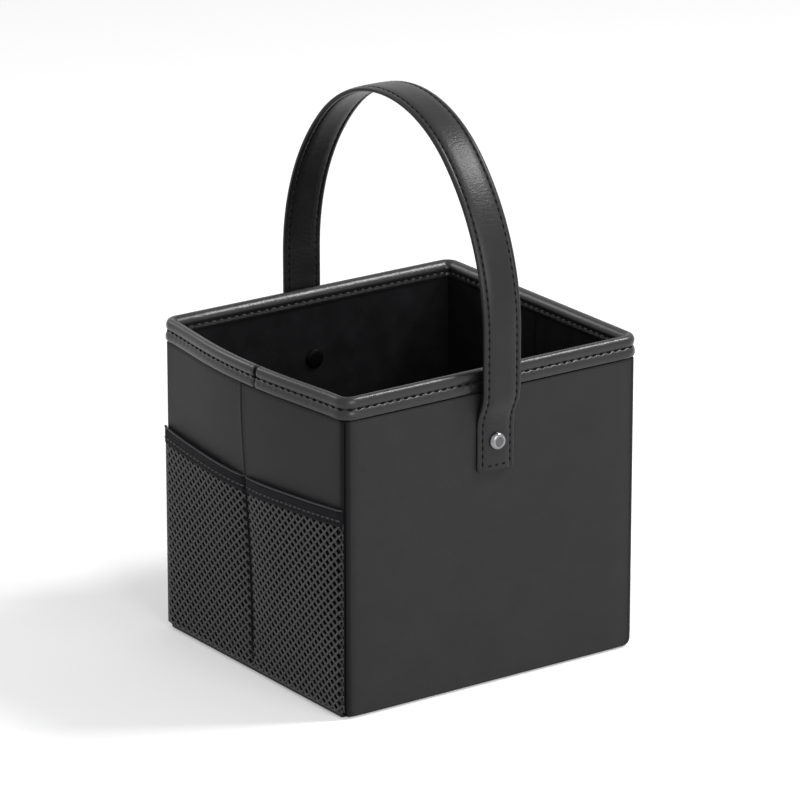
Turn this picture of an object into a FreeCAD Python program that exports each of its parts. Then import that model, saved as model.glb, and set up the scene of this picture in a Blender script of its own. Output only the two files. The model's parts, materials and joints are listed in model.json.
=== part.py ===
import FreeCAD, Part
import math
import os

# Armrest storage box in millimetres, +Z up.
# The origin is the middle of the underside. The front faces -Y and the mesh pockets are on the -X side.

V = FreeCAD.Vector

# Box
box_width = 175.5
box_depth = 157.5
box_height = 164.3
inner_corner = 1.3
panel_corner = 3.5
face_corner = 6.0

# Layers of a wall, from the outside in
leather = 1.0
board = 2.2
lining = 0.8

# Sewn edges
seam_gap = 0.8
sewn_clearance = 0.05
board_margin = 4.5
edge_round = 1.4
base_edge = 3.0

# Fold in the side walls
fold_gap = 3.0
fold_groove_width = 2.0
fold_groove_depth = 0.8

# Loose base insert
insert_thickness = 3.0
insert_clearance = 0.5

# Rim binding
binding_leather = 0.9
roll_proud = 1.2
roll_height = 6.3
roll_top = 1.2
flange_height = 5.2
inner_leg = 9.0
binding_joint_offset = 12.0
binding_joint_width = 0.8
binding_joint_depth = 0.45

# Mesh pockets
mesh_thickness = 1.0
hem_thickness = 1.8
hem_height = 8.5
hem_top = 107.8
hem_dip = 7.0
pocket_bulge = 7.5
mouth_fullness = 0.55
pocket_tab = 3.0
pocket_inset = 0.6
full_bulge_height = 45.0
gap_columns = 6
gap_rows = 10
gap_width = 6.4
gap_tall = 5.2
gap_border = 2.5

# Handle strap
strap_width = 22.0
strap_layer = 1.4
glue_line = 0.1
strap_rub_gap = 0.3
strap_rim_gap = 4.3
strap_tail = 15.0
strap_tail_corner = 2.5
strap_foot_rise = 7.0
strap_bend_height = 20.0
strap_spring_above_rim = 17.0
strap_crown_above_rim = 121.7
strap_shoulder_angle = 45.0

# Rivets
rivet_drop = 37.5
rivet_post_radius = 2.0
rivet_running_clearance = 0.05
rivet_cap_radius = 4.6
rivet_cap_height = 2.2
rivet_cap_flat = 2.6
rivet_cap_shoulder = 3.8
rivet_cap_edge = 0.5
rivet_inner_radius = 5.2
rivet_inner_height = 1.6
rivet_inner_floor = 0.7

# Values that follow from the sizes above
half_width = box_width / 2
half_depth = box_depth / 2
panel = leather + board
wall = panel + lining
corner_radius = wall + roll_proud + inner_corner
wall_top = box_height - roll_top - sewn_clearance
rim_low = box_height - roll_height - flange_height
side_end = half_depth - panel - seam_gap
side_foot = base_edge + sewn_clearance
floor_top = leather + lining
rivet_height = box_height - rivet_drop
strap_thickness = 2 * strap_layer + glue_line


def block(x0, x1, y0, y1, z0, z1):
    """A straight block between two corners."""
    return Part.makeBox(x1 - x0, y1 - y0, z1 - z0, V(x0, y0, z0))


def rounded_outline(half_x, half_y, radius, height):
    """An upright prism with a rounded rectangle as its plan."""
    prism = block(-half_x, half_x, -half_y, half_y, -1, height)
    upright = [edge for edge in prism.Edges if abs(edge.Vertexes[0].Z - edge.Vertexes[1].Z) > 1]
    return prism.makeFillet(radius, upright)


def drilled(shape, y0, y1, radius):
    """The shape with a rivet hole along Y from y0 to y1."""
    hole = Part.makeCylinder(radius, y1 - y0, V(0, y0, rivet_height), V(0, 1, 0))
    return shape.cut(hole)


def front_to_back(shape):
    return shape.mirror(V(0, 0, 0), V(0, 1, 0))


def left_to_right(shape):
    return shape.mirror(V(0, 0, 0), V(1, 0, 0))


# The corners are tighter below the rim than under its binding
box_plan = rounded_outline(half_width, half_depth, corner_radius, box_height)
box_plan = box_plan.fuse(rounded_outline(half_width, half_depth, panel_corner, rim_low))
hole_radius = rivet_post_radius + rivet_running_clearance


# Front and back panels: a leather tray turned round the edges of its board
def face_panel():
    slab = block(-half_width, half_width, -half_depth, -half_depth + panel, 0, wall_top)
    low_corners = []
    for edge in slab.Edges:
        middle = edge.CenterOfMass
        if abs(middle.y + half_depth - panel / 2) < 0.01 and middle.z < 0.01:
            low_corners.append(edge)
    slab = slab.makeFillet(face_corner, low_corners)
    rim = []
    for edge in slab.Edges:
        middle = edge.CenterOfMass
        if abs(middle.y + half_depth) < 0.01 and middle.z < wall_top - 1:
            rim.append(edge)
    slab = slab.makeFillet(edge_round, rim)
    slab = slab.common(box_plan)
    board_half = half_width - board_margin
    stiffener = block(-board_half, board_half, -half_depth + leather, -half_depth + panel,
                      board_margin, wall_top)
    cover = drilled(slab.cut(stiffener), -half_depth - 1, -half_depth + panel + 1, hole_radius)
    stiffener = drilled(stiffener, -half_depth, -half_depth + panel + 1, hole_radius)
    cloth = block(-half_width + panel, half_width - panel, -half_depth + panel, -half_depth + wall,
                  floor_top, wall_top)
    cloth = drilled(cloth, -half_depth, -half_depth + wall + 1, hole_radius)
    return cover, stiffener, cloth


# Side panels: one leather cover with a fold seam, and a board each side of the fold
def side_panel():
    slab = block(-half_width, -half_width + panel, -side_end, side_end, side_foot, wall_top)
    rim = []
    for edge in slab.Edges:
        middle = edge.CenterOfMass
        if abs(middle.x + half_width) < 0.01 and middle.z < wall_top - 1:
            rim.append(edge)
    slab = slab.makeFillet(edge_round, rim)
    slab = slab.common(box_plan)
    half_groove = fold_groove_width / 2
    groove = Part.makePolygon([V(-half_width - fold_groove_depth, -2 * half_groove, 0),
                               V(-half_width + fold_groove_depth, 0, 0),
                               V(-half_width - fold_groove_depth, 2 * half_groove, 0),
                               V(-half_width - fold_groove_depth, -2 * half_groove, 0)])
    slab = slab.cut(Part.Face(groove).extrude(V(0, 0, box_height)))
    rear = block(-half_width + leather, -half_width + panel, fold_gap / 2, side_end - board_margin,
                 side_foot + board_margin, wall_top)
    front = front_to_back(rear)
    cover = slab.cut(rear).cut(front)
    cloth = block(-half_width + panel, -half_width + wall, -half_depth + wall, half_depth - wall,
                  floor_top, wall_top)
    return cover, front, rear, cloth


# Base: leather turned up at the two sides, a floor lining and a loose insert
def base_panel():
    slab = block(-half_width, half_width, -side_end, side_end, 0, base_edge)
    rim = []
    for edge in slab.Edges:
        middle = edge.CenterOfMass
        if abs(abs(middle.x) - half_width) < 0.01 and middle.z < 0.01:
            rim.append(edge)
    slab = slab.makeFillet(edge_round, rim)
    slab = slab.common(box_plan)
    tray = block(-half_width + panel, half_width - panel, -half_depth, half_depth, leather, base_edge + 1)
    cover = slab.cut(tray)
    floor = block(-half_width + panel, half_width - panel, -half_depth + panel, half_depth - panel,
                  leather, floor_top)
    reach_x = half_width - wall - insert_clearance
    reach_y = half_depth - wall - insert_clearance
    insert = block(-reach_x, reach_x, -reach_y, reach_y, floor_top, floor_top + insert_thickness)
    upright = [edge for edge in insert.Edges if abs(edge.Vertexes[0].Z - edge.Vertexes[1].Z) > 1]
    return cover, floor, insert.makeFillet(face_corner, upright)


# Rim binding: a leather strip folded over the wall, its section run round the top
def binding_section():
    """The section at the front wall in the YZ plane, with the roll at its top."""
    outside = -half_depth - sewn_clearance
    inside = -half_depth + wall + sewn_clearance
    middle = (outside + inside) / 2
    flange = binding_leather
    low = rim_low
    neck = box_height - roll_height
    inner_low = box_height - inner_leg
    belly = box_height - roll_height / 2
    out_belly = -half_depth - roll_proud
    in_belly = -half_depth + wall + roll_proud
    under = box_height - roll_top

    def point(y, z):
        return V(0, y, z)

    def line(a, b):
        return Part.LineSegment(a, b).toShape()

    out_low = point(outside - flange, low)
    out_neck = point(outside - flange, neck)
    in_neck = point(inside + flange, neck)
    in_low = point(inside + flange, inner_low)
    crown = Part.Arc(point(out_belly, belly), point(middle, box_height), point(in_belly, belly)).toShape()
    out_roll = line(out_neck, point(out_belly, belly))
    in_roll = line(point(in_belly, belly), in_neck)
    edges = [line(point(outside, low), out_low), line(out_low, out_neck), out_roll, crown, in_roll,
             line(in_neck, in_low), line(in_low, point(inside, inner_low)),
             line(point(inside, inner_low), point(inside, under)), line(point(inside, under), point(outside, under)),
             line(point(outside, under), point(outside, low))]
    return Part.Face(Part.Wire(edges))


def rim_binding():
    section = binding_section()
    straight_x = half_width - corner_radius
    straight_y = half_depth - corner_radius
    front = section.translated(V(-straight_x, 0, 0)).extrude(V(2 * straight_x, 0, 0))
    at_corner = section.translated(V(straight_x, 0, 0))
    axis = V(straight_x, -straight_y, 0)
    corner = at_corner.revolve(axis, V(0, 0, 1), 90)
    turned = at_corner.copy()
    turned.rotate(axis, V(0, 0, 1), 90)
    side = turned.extrude(V(0, 2 * straight_y, 0))
    half = front.fuse([corner, side])
    far_corner = front_to_back(corner)
    half = half.fuse(far_corner)
    spun = half.copy()
    spun.rotate(V(0, 0, 0), V(0, 0, 1), 180)
    ring = half.fuse(spun).removeSplitter()
    y0 = -binding_joint_offset
    reach = roll_proud + binding_leather + 1
    slot = block(-half_width - reach, -half_width + wall + reach, y0, y0 + binding_joint_width,
                 rim_low - 1, box_height + 1)
    core = block(-half_width - roll_proud + binding_joint_depth, -half_width + wall + roll_proud - binding_joint_depth,
                 y0 - 1, y0 + binding_joint_width + 1, 0, box_height - binding_joint_depth)
    return ring.cut(slot.cut(core)).Solids[0]


# Mesh pockets on the left panel
def curtain_section(y0, y1, bulge, thickness, z):
    """Plan of one pocket's cloth at a height, standing off the wall by the bulge in its middle."""
    wall_face = -half_width - sewn_clearance
    skin = wall_face - thickness
    stand = max(bulge, 0.3)
    shoulder = (1 + mouth_fullness) / 2 + mouth_fullness / 4
    shares = [(0.0, 0.0), (0.1, mouth_fullness), (0.26, shoulder), (0.5, 1.0), (0.74, shoulder),
              (0.9, mouth_fullness), (1.0, 0.0)]
    outer = [V(skin - stand * share, y0 + (y1 - y0) * t, z) for t, share in shares]
    start = y1 - pocket_tab
    end = y0 + pocket_tab
    inner = [V(wall_face - stand * share, start + (end - start) * t, z) for t, share in shares]
    corners = outer + [V(wall_face, y1, z)] + inner + [V(wall_face, y0, z)]
    return Part.makePolygon(corners + corners[:1])


def curtain(y0, y1, thickness):
    """One pocket's cloth from the base seam to above the hem."""
    levels = [(side_foot, 0.0), (full_bulge_height, pocket_bulge), (hem_top + 1, pocket_bulge)]
    sections = [curtain_section(y0, y1, bulge, thickness, z) for z, bulge in levels]
    return Part.makeLoft(sections, True, True)


def hem_band(y_outer, raise_low, raise_high):
    """A slab across X between two lines that run parallel to the pocket mouth."""
    reach = pocket_bulge + hem_thickness + 5
    corners = [V(-half_width - reach, 0, hem_top - hem_dip + raise_low),
               V(-half_width - reach, y_outer, hem_top + raise_low),
               V(-half_width - reach, y_outer, hem_top + raise_high),
               V(-half_width - reach, 0, hem_top - hem_dip + raise_high)]
    outline = Part.makePolygon(corners + corners[:1])
    return Part.Face(outline).extrude(V(reach + 5, 0, 0))


def mesh_gaps(y0, y1):
    """Diamond gaps of the netting in staggered rows."""
    low = side_foot + gap_border
    high = hem_top - hem_dip - hem_height - gap_border
    span = y1 - y0 - 2 * pocket_tab
    pitch_y = span / (gap_columns + 0.5)
    pitch_z = (high - low) / gap_rows
    reach = pocket_bulge + mesh_thickness + 3
    cutters = []
    for row in range(gap_rows):
        z = low + (row + 0.5) * pitch_z
        shift = 0.25 * pitch_y if row % 2 else -0.25 * pitch_y
        for column in range(gap_columns):
            y = y0 + pocket_tab + (column + 0.75) * pitch_y + shift
            half_w = gap_width / 2
            half_t = gap_tall / 2
            x = -half_width - reach
            corners = [V(x, y - half_w, z), V(x, y, z - half_t), V(x, y + half_w, z), V(x, y, z + half_t)]
            outline = Part.makePolygon(corners + corners[:1])
            cutters.append(Part.Face(outline).extrude(V(reach - sewn_clearance / 2, 0, 0)))
    return cutters


def pockets():
    reach = side_end - pocket_inset
    mesh_parts = []
    hem_parts = []
    for y_outer in (-reach, reach):
        y0 = min(0.0, y_outer)
        y1 = max(0.0, y_outer)
        above = hem_band(y_outer, -hem_height, box_height)
        net = curtain(y0, y1, mesh_thickness).cut(above)
        mesh_parts.append(net.cut(mesh_gaps(y0, y1)))
        hem_parts.append(curtain(y0, y1, hem_thickness).common(hem_band(y_outer, -hem_height, 0.0)))
    mesh = mesh_parts[0].fuse(mesh_parts[1])
    hem = hem_parts[0].fuse(hem_parts[1])
    return mesh.Solids[0], hem.Solids[0]


# Handle strap: two leather layers on one arch, pinned at the rivets
def strap_path(shift):
    """Half of the arch as edges in the YZ plane, moved outward from its middle line by the shift."""
    foot = half_depth + strap_rub_gap + strap_thickness / 2
    leg = half_depth + roll_proud + strap_rim_gap + strap_thickness / 2
    low = rivet_height - strap_tail
    bend = rivet_height + strap_foot_rise
    spring = box_height + strap_spring_above_rim
    rise = box_height + strap_crown_above_rim - strap_thickness / 2 - spring
    step = leg - foot
    turn = 2 * math.atan(step / strap_bend_height)
    bend_radius = strap_bend_height / (2 * math.sin(turn))
    angle = math.radians(strap_shoulder_angle)
    share = 1 - math.sin(angle) - math.cos(angle)
    side_radius = (leg * (1 - math.sin(angle)) - rise * math.cos(angle)) / share
    crown_radius = (rise * (1 - math.cos(angle)) - leg * math.sin(angle)) / share

    def arc(y, z, radius, start, end):
        """An arc about (y, z); angles in radians from +Y towards +Z."""
        points = []
        for t in (start, (start + end) / 2, end):
            points.append(V(0, y + radius * math.cos(t), z + radius * math.sin(t)))
        return Part.Arc(points[0], points[1], points[2]).toShape()

    def line(y0, z0, y1, z1):
        return Part.LineSegment(V(0, y0, z0), V(0, y1, z1)).toShape()

    top = bend + strap_bend_height
    edges = [line(foot + shift, low, foot + shift, bend),
             arc(foot + bend_radius, bend, bend_radius - shift, math.pi, math.pi - turn),
             arc(leg - bend_radius, top, bend_radius + shift, -turn, 0.0),
             line(leg + shift, top, leg + shift, spring),
             arc(leg - side_radius, spring, side_radius + shift, 0.0, angle),
             arc(0.0, spring + rise - crown_radius, crown_radius + shift, angle, math.pi / 2)]
    return edges


def strap_layer_solid(inner_shift, outer_shift):
    inner = strap_path(inner_shift)
    outer = strap_path(outer_shift)
    foot_edge = Part.LineSegment(inner[0].Vertexes[0].Point, outer[0].Vertexes[0].Point).toShape()
    crown_edge = Part.LineSegment(outer[-1].Vertexes[-1].Point, inner[-1].Vertexes[-1].Point).toShape()
    outline = Part.Wire(Part.sortEdges(inner + outer + [foot_edge, crown_edge])[0])
    half = Part.Face(outline).translated(V(-strap_width / 2, 0, 0)).extrude(V(strap_width, 0, 0))
    tail = []
    for edge in half.Edges:
        middle = edge.CenterOfMass
        if abs(middle.z - rivet_height + strap_tail) < 0.01 and abs(middle.x) > strap_width / 2 - 0.01:
            tail.append(edge)
    half = half.makeFillet(strap_tail_corner, tail)
    strap = half.fuse(front_to_back(half)).removeSplitter()
    return drilled(strap, -box_depth, box_depth, hole_radius)


# Rivets: a chrome cap and post outside, a black cap inside
def rivet_pair():
    cap_base = half_depth + 2 * strap_rub_gap + strap_thickness
    cap_top = cap_base + rivet_cap_height
    post_end = half_depth - wall - rivet_inner_height + rivet_inner_floor
    corners = [V(0, cap_top, rivet_cap_flat), V(0, cap_top, 0), V(0, post_end, 0),
               V(0, post_end, rivet_post_radius), V(0, cap_base, rivet_post_radius),
               V(0, cap_base, rivet_cap_radius), V(0, cap_base + rivet_cap_edge, rivet_cap_radius),
               V(0, cap_top - rivet_cap_edge, rivet_cap_shoulder), V(0, cap_top, rivet_cap_flat)]
    profile = Part.Face(Part.makePolygon(corners))
    rivet = profile.revolve(V(0, 0, 0), V(0, 1, 0), 360)
    inner_face = half_depth - wall - sewn_clearance
    inner = Part.makeCylinder(rivet_inner_radius, rivet_inner_height, V(0, inner_face, 0), V(0, -1, 0))
    far_rim = [edge for edge in inner.Edges if abs(edge.CenterOfMass.y - inner_face + rivet_inner_height) < 0.01
               and len(edge.Vertexes) == 1]
    inner = inner.makeChamfer(rivet_inner_height / 2, far_rim)
    socket = Part.makeCylinder(rivet_post_radius, rivet_inner_height, V(0, post_end, 0), V(0, 1, 0))
    inner = inner.cut(socket)
    lift = V(0, 0, rivet_height)
    return rivet.translated(lift), inner.translated(lift)


# All pieces by name
front_cover, front_board, front_lining = face_panel()
left_cover, left_board_front, left_board_rear, left_lining = side_panel()
base_cover, floor_lining, base_insert = base_panel()
pocket_mesh, pocket_hem = pockets()
back_rivet, back_rivet_cap = rivet_pair()
half_layer = glue_line / 2

pieces = {
    "front_cover": front_cover,
    "front_board": front_board,
    "front_lining": front_lining,
    "back_cover": front_to_back(front_cover),
    "back_board": front_to_back(front_board),
    "back_lining": front_to_back(front_lining),
    "left_cover": left_cover,
    "left_board_front": left_board_front,
    "left_board_rear": left_board_rear,
    "left_lining": left_lining,
    "right_cover": left_to_right(left_cover),
    "right_board_front": left_to_right(left_board_front),
    "right_board_rear": left_to_right(left_board_rear),
    "right_lining": left_to_right(left_lining),
    "base_cover": base_cover,
    "floor_lining": floor_lining,
    "base_insert": base_insert,
    "rim_binding": rim_binding(),
    "pocket_mesh": pocket_mesh,
    "pocket_hem": pocket_hem,
    "handle_strap": strap_layer_solid(half_layer, half_layer + strap_layer),
    "handle_backing": strap_layer_solid(-half_layer - strap_layer, -half_layer),
    "back_rivet": back_rivet,
    "back_rivet_cap": back_rivet_cap,
    "front_rivet": front_to_back(back_rivet),
    "front_rivet_cap": front_to_back(back_rivet_cap),
}

os.makedirs("parts", exist_ok=True)
for name, shape in pieces.items():
    shape.exportStep(os.path.join("parts", name + ".step"))
    box = shape.optimalBoundingBox(False)
    print(name, shape.isValid(), len(shape.Solids), "%.1f" % shape.Volume,
          "x %.1f %.1f y %.1f %.1f z %.1f %.1f" % (box.XMin, box.XMax, box.YMin, box.YMax, box.ZMin, box.ZMax))
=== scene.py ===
import json
import math
from types import SimpleNamespace

import bpy
from bpy.props import FloatProperty, FloatVectorProperty, PointerProperty
from mathutils import Matrix, Vector


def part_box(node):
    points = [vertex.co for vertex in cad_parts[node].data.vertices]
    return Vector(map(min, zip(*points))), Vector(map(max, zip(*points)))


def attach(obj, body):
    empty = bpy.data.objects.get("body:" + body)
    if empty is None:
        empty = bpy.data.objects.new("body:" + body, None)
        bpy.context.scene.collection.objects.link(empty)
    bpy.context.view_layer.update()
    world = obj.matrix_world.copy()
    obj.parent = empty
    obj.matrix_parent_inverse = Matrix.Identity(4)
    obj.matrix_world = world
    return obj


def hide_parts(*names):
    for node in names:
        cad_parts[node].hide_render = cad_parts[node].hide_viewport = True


bl_info = {
    "name": "Armrest storage box",
    "version": (1, 0, 0),
    "blender": (4, 5, 0),
    "location": "View3D > Sidebar > Storage box",
    "description": "Leather panels, rim binding, strap handle and mesh pockets of an armrest storage box",
    "category": "Object",
}

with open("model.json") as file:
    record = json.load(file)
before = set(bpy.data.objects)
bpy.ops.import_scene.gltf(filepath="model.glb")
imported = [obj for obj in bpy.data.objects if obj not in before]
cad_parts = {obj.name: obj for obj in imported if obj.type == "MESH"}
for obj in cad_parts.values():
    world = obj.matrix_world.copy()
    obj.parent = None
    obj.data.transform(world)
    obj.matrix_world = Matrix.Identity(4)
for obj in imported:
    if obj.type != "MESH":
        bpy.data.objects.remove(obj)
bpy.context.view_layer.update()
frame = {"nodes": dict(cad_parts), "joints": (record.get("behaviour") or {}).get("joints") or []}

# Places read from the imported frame, in metres
HALF_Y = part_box("back_cover")[1][1]
LEFT_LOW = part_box("left_cover")[0]
RIM_LOW, RIM_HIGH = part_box("rim_binding")
STRAP_LOW, STRAP_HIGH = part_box("handle_strap")
LINING_LOW, LINING_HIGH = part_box("back_lining")
FLOOR_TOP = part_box("floor_lining")[1][2]
INSERT_LOW, INSERT_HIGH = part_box("base_insert")
HEM_LOW, HEM_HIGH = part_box("pocket_hem")
MESH_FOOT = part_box("pocket_mesh")[0][2]
RIVET_LOW, RIVET_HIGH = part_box("front_rivet")
CAP_LOW, CAP_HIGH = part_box("front_rivet_cap")
PIVOT = Vector(frame["joints"][0]["pos_m"])

HALF_X = -LEFT_LOW[0]
TOP = RIM_HIGH[2]
WALL = HALF_Y - LINING_LOW[1]
QUARTER = math.pi / 2
UP = Vector((0, 0, 1))

# Places chosen on the box, in metres
JOINT_Y = -0.012  # where the ends of the rim binding meet, on the left side
BOW_Y = 0.005  # where the slack left side leans out most
BOW_FOOT = 0.03  # height at which that lean begins
SIDE_DEPTH = 0.0062  # depth of the layers that lean with the left side
POCKET_HALF = HALF_Y - 0.0014
STITCH_DROP = 0.0064  # rim stitches below the rim's top
# The strip of wall below this line, under the binding, gets painted shadow.
BINDING_DROP = 0.0125  # shadow line under the binding, below the rim's top
STRAP_HALF = 0.011
STRAP_THICK = 0.0029
STRAP_CORNER = 0.0025
STITCH_SHARE = 0.68  # visible share of a stitch's pitch


def length(label, about, default):
    """A size that a user may change."""
    return FloatProperty(name=label, description=about, default=default, unit="LENGTH")


def tone(label, about, *default):
    """A colour that a user may change."""
    return FloatVectorProperty(name=label, description=about, default=default, subtype="COLOR")


class BoxSizes(bpy.types.PropertyGroup):
    """Sizes of the sewn and moulded details."""

    rim_corner: length("Rim corner", "Plan radius of the rim's corners", 0.0065)
    panel_corner: length("Panel edge", "Radius of the rolled edges of a panel", 0.0032)
    seam: length("Corner seam", "How far a panel stops short of an upright corner", 0.0005)
    foot_corner: length("Foot corner", "Radius of a face's lower corners", 0.0038)
    face_crown: length("Face crown", "How far a padded face stands out in its middle", 0.0012)
    side_bow: length("Side bow", "How far the slack pocket side leans out at the rim", 0.0060)
    rim_pitch: length("Rim stitch pitch", "Length of one stitch on the rim", 0.0045)
    strap_pitch: length("Strap stitch pitch", "Length of one stitch on the strap", 0.0041)
    thread: length("Thread", "Thickness of the sewing thread", 0.00115)
    strap_row: length("Strap row", "Distance of a stitch row from the middle of the strap", 0.0082)
    net_wide: length("Net width", "Width of one diamond of the netting", 0.0050)
    net_tall: length("Net height", "Height of one diamond of the netting", 0.0045)
    strand: length("Strand", "Thickness of a strand of the netting", 0.0016)
    hem_height: length("Hem height", "Height of the elastic hem", 0.0085)
    hem_dip: length("Hem dip", "Drop of the hem at the seam between the pockets", 0.0038)
    pocket_bulge: length("Pocket bulge", "How far a pocket mouth stands off the side", 0.0018)


class BoxColours(bpy.types.PropertyGroup):
    """Colours of the leather, cloth and metal."""

    leather: tone("Leather", "Colour of the leather", 0.0220, 0.0220, 0.0225)
    lining: tone("Lining", "Colour of the cloth inside", 0.0100, 0.0100, 0.0110)
    netting: tone("Netting", "Colour of the pocket net", 0.018, 0.018, 0.019)
    elastic: tone("Elastic", "Colour of the ribbed hem", 0.0030, 0.0030, 0.0042)
    piping: tone("Piping", "Colour of the hem's top edge", 0.036, 0.036, 0.040)
    thread: tone("Thread", "Colour of the sewing thread", 0.003, 0.003, 0.003)
    # Partly painted reflection: the plating's own colour, kept dark so that it stands in for the dark
    # surroundings it reflects.
    rivet: tone("Rivet", "Colour of the plated rivets", 0.26, 0.26, 0.27)
    floor: tone("Floor", "Colour of the floor", 0.86, 0.86, 0.86)


def sizes():
    """The scene's sizes."""
    return bpy.context.scene.box_sizes


def colours():
    """The scene's colours."""
    return bpy.context.scene.box_colours


# Materials

def new_material(name):
    """A material with a Principled shader; the tree is None where the material is already there."""
    made = bpy.data.materials.get(name)
    if made:
        return made, None
    made = bpy.data.materials.new(name)
    made.use_nodes = True
    return made, made.node_tree


def node(tree, kind, inputs=None, **settings):
    """A node with its settings and plain inputs."""
    made = tree.nodes.new(kind)
    for key, value in settings.items():
        setattr(made, key, value)
    for key, value in (inputs or {}).items():
        made.inputs[key].default_value = value
    return made


def link(tree, source, output, target, socket):
    """Joins an output of one node to an input of another."""
    tree.links.new(source.outputs[output], target.inputs[socket])


def lay_on_piece(tree, *textures):
    """Lays the textures on the piece's own coordinates."""
    place = node(tree, "ShaderNodeTexCoord")
    for one in textures:
        link(tree, place, "Object", one, "Vector")


def relief(tree, texture, output, strength, distance, below=None):
    """A bump from a texture, over the bump below it."""
    made = node(tree, "ShaderNodeBump", {"Strength": strength, "Distance": distance})
    link(tree, texture, output, made, "Height")
    if below:
        link(tree, below, "Normal", made, "Normal")
    return made


def set_gloss(shader, rough, specular):
    """Sets an even roughness and specular level."""
    shader.inputs["Roughness"].default_value = rough
    shader.inputs["Specular IOR Level"].default_value = specular


def two_tones(tree, factor, output, base, dark, light, shader):
    """Colours the shader between a darker and a lighter tone of the base, and returns the ramp."""
    tint = node(tree, "ShaderNodeValToRGB")
    tint.color_ramp.elements[0].position = 0.3
    tint.color_ramp.elements[0].color = [c * dark for c in base] + [1.0]
    tint.color_ramp.elements[1].position = 0.7
    tint.color_ramp.elements[1].color = [c * light for c in base] + [1.0]
    link(tree, factor, output, tint, "Fac")
    link(tree, tint, "Color", shader, "Base Color")
    return tint


def leather_finish(name, lift, rough, specular, crease_depth):
    """Black leather with a fine pebble grain, cross creases and faint wear, with painted shade beside a
    seam.
    """
    made, tree = new_material(name)
    if tree is None:
        return made
    shader = tree.nodes["Principled BSDF"]
    along = node(tree, "ShaderNodeMapping", {"Scale": (0.35, 1.0, 1.0)})
    pebble = node(tree, "ShaderNodeTexVoronoi", {"Scale": 1150.0, "Randomness": 0.9})
    crease = node(tree, "ShaderNodeTexNoise", {"Scale": 900.0, "Detail": 4.0, "Roughness": 0.6})
    wear = node(tree, "ShaderNodeTexNoise", {"Scale": 70.0, "Detail": 5.0, "Roughness": 0.6})
    sway = node(tree, "ShaderNodeTexNoise", {"Scale": 16.0, "Detail": 2.0})
    lay_on_piece(tree, along, pebble, wear, sway)
    link(tree, along, "Vector", crease, "Vector")
    fine = relief(tree, pebble, "Distance", 0.16, 0.0002)
    soft = relief(tree, crease, "Fac", crease_depth, 0.0004, fine)
    wave = relief(tree, sway, "Fac", 0.06, 0.002, soft)
    link(tree, wave, "Normal", shader, "Normal")
    base = [c * lift for c in colours().leather]
    tint = two_tones(tree, wear, "Fac", base, 0.93, 1.08, shader)
    # Painted shade: the seam_shade attribute mixes the base colour towards near black beside the upright
    # seams.
    near = node(tree, "ShaderNodeAttribute", attribute_name="seam_shade")
    shade = node(tree, "ShaderNodeMix", {7: (0.002, 0.002, 0.002, 1.0)}, data_type="RGBA")
    link(tree, near, "Fac", shade, 0)
    link(tree, tint, "Color", shade, 6)
    link(tree, shade, 2, shader, "Base Color")
    gloss = node(tree, "ShaderNodeMapRange", {"To Min": rough - 0.06, "To Max": rough + 0.06})
    link(tree, wear, "Fac", gloss, "Value")
    link(tree, gloss, "Result", shader, "Roughness")
    shader.inputs["Specular IOR Level"].default_value = specular
    return made


def panel_leather():
    """Matt leather of the wall faces."""
    return leather_finish("panel_leather", 1.0, 0.52, 0.15, 0.10)


def binding_leather():
    """Glossier leather of the rim binding."""
    return leather_finish("binding_leather", 0.5, 0.31, 0.42, 0.22)


def strap_leather():
    """Creased leather of the handle."""
    return leather_finish("strap_leather", 0.45, 0.37, 0.28, 0.32)


def rolled_leather():
    """Duller leather where a wall face rolls into a seam."""
    return leather_finish("panel_edge", 1.0, 0.56, 0.08, 0.10)


def painted_shade_leather():
    """Leather darkened as painted shade, down inside a seam and in the painted shadow under the binding.
    """
    return leather_finish("painted_seam_shade", 0.1, 0.75, 0.04, 0.10)


def lining_finish():
    """Dark plain-woven lining."""
    made, tree = new_material("woven_lining")
    if tree is None:
        return made
    shader = tree.nodes["Principled BSDF"]
    warp = node(tree, "ShaderNodeTexWave", {"Scale": 420.0}, bands_direction="Z")
    weft = node(tree, "ShaderNodeTexWave", {"Scale": 420.0}, bands_direction="DIAGONAL")
    fuzz = node(tree, "ShaderNodeTexNoise", {"Scale": 90.0, "Detail": 5.0})
    lay_on_piece(tree, warp, weft, fuzz)
    weave = node(tree, "ShaderNodeMath", operation="ADD")
    link(tree, warp, "Fac", weave, 0)
    link(tree, weft, "Fac", weave, 1)
    threads = relief(tree, weave, "Value", 0.3, 0.0002)
    slack = relief(tree, fuzz, "Fac", 0.3, 0.001, threads)
    link(tree, slack, "Normal", shader, "Normal")
    two_tones(tree, fuzz, "Fac", colours().lining, 0.8, 1.3, shader)
    set_gloss(shader, 0.7, 0.03)
    return made


def yarn_finish(name, base, scale, rough=0.55, specular=0.4):
    """Twisted synthetic yarn with fine cross lines."""
    made, tree = new_material(name)
    if tree is None:
        return made
    shader = tree.nodes["Principled BSDF"]
    twist = node(tree, "ShaderNodeTexWave", {"Scale": scale, "Distortion": 1.5, "Detail": 2.0},
                 bands_direction="DIAGONAL")
    dust = node(tree, "ShaderNodeTexNoise", {"Scale": scale * 0.8, "Detail": 3.0})
    lay_on_piece(tree, twist, dust)
    link(tree, relief(tree, twist, "Fac", 0.5, 0.0002), "Normal", shader, "Normal")
    two_tones(tree, dust, "Fac", base, 0.75, 1.25, shader)
    set_gloss(shader, rough, specular)
    return made


def sewing_thread():
    """Matt black thread."""
    return yarn_finish("sewing_thread", colours().thread, 1500.0, 0.75, 0.12)


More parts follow.
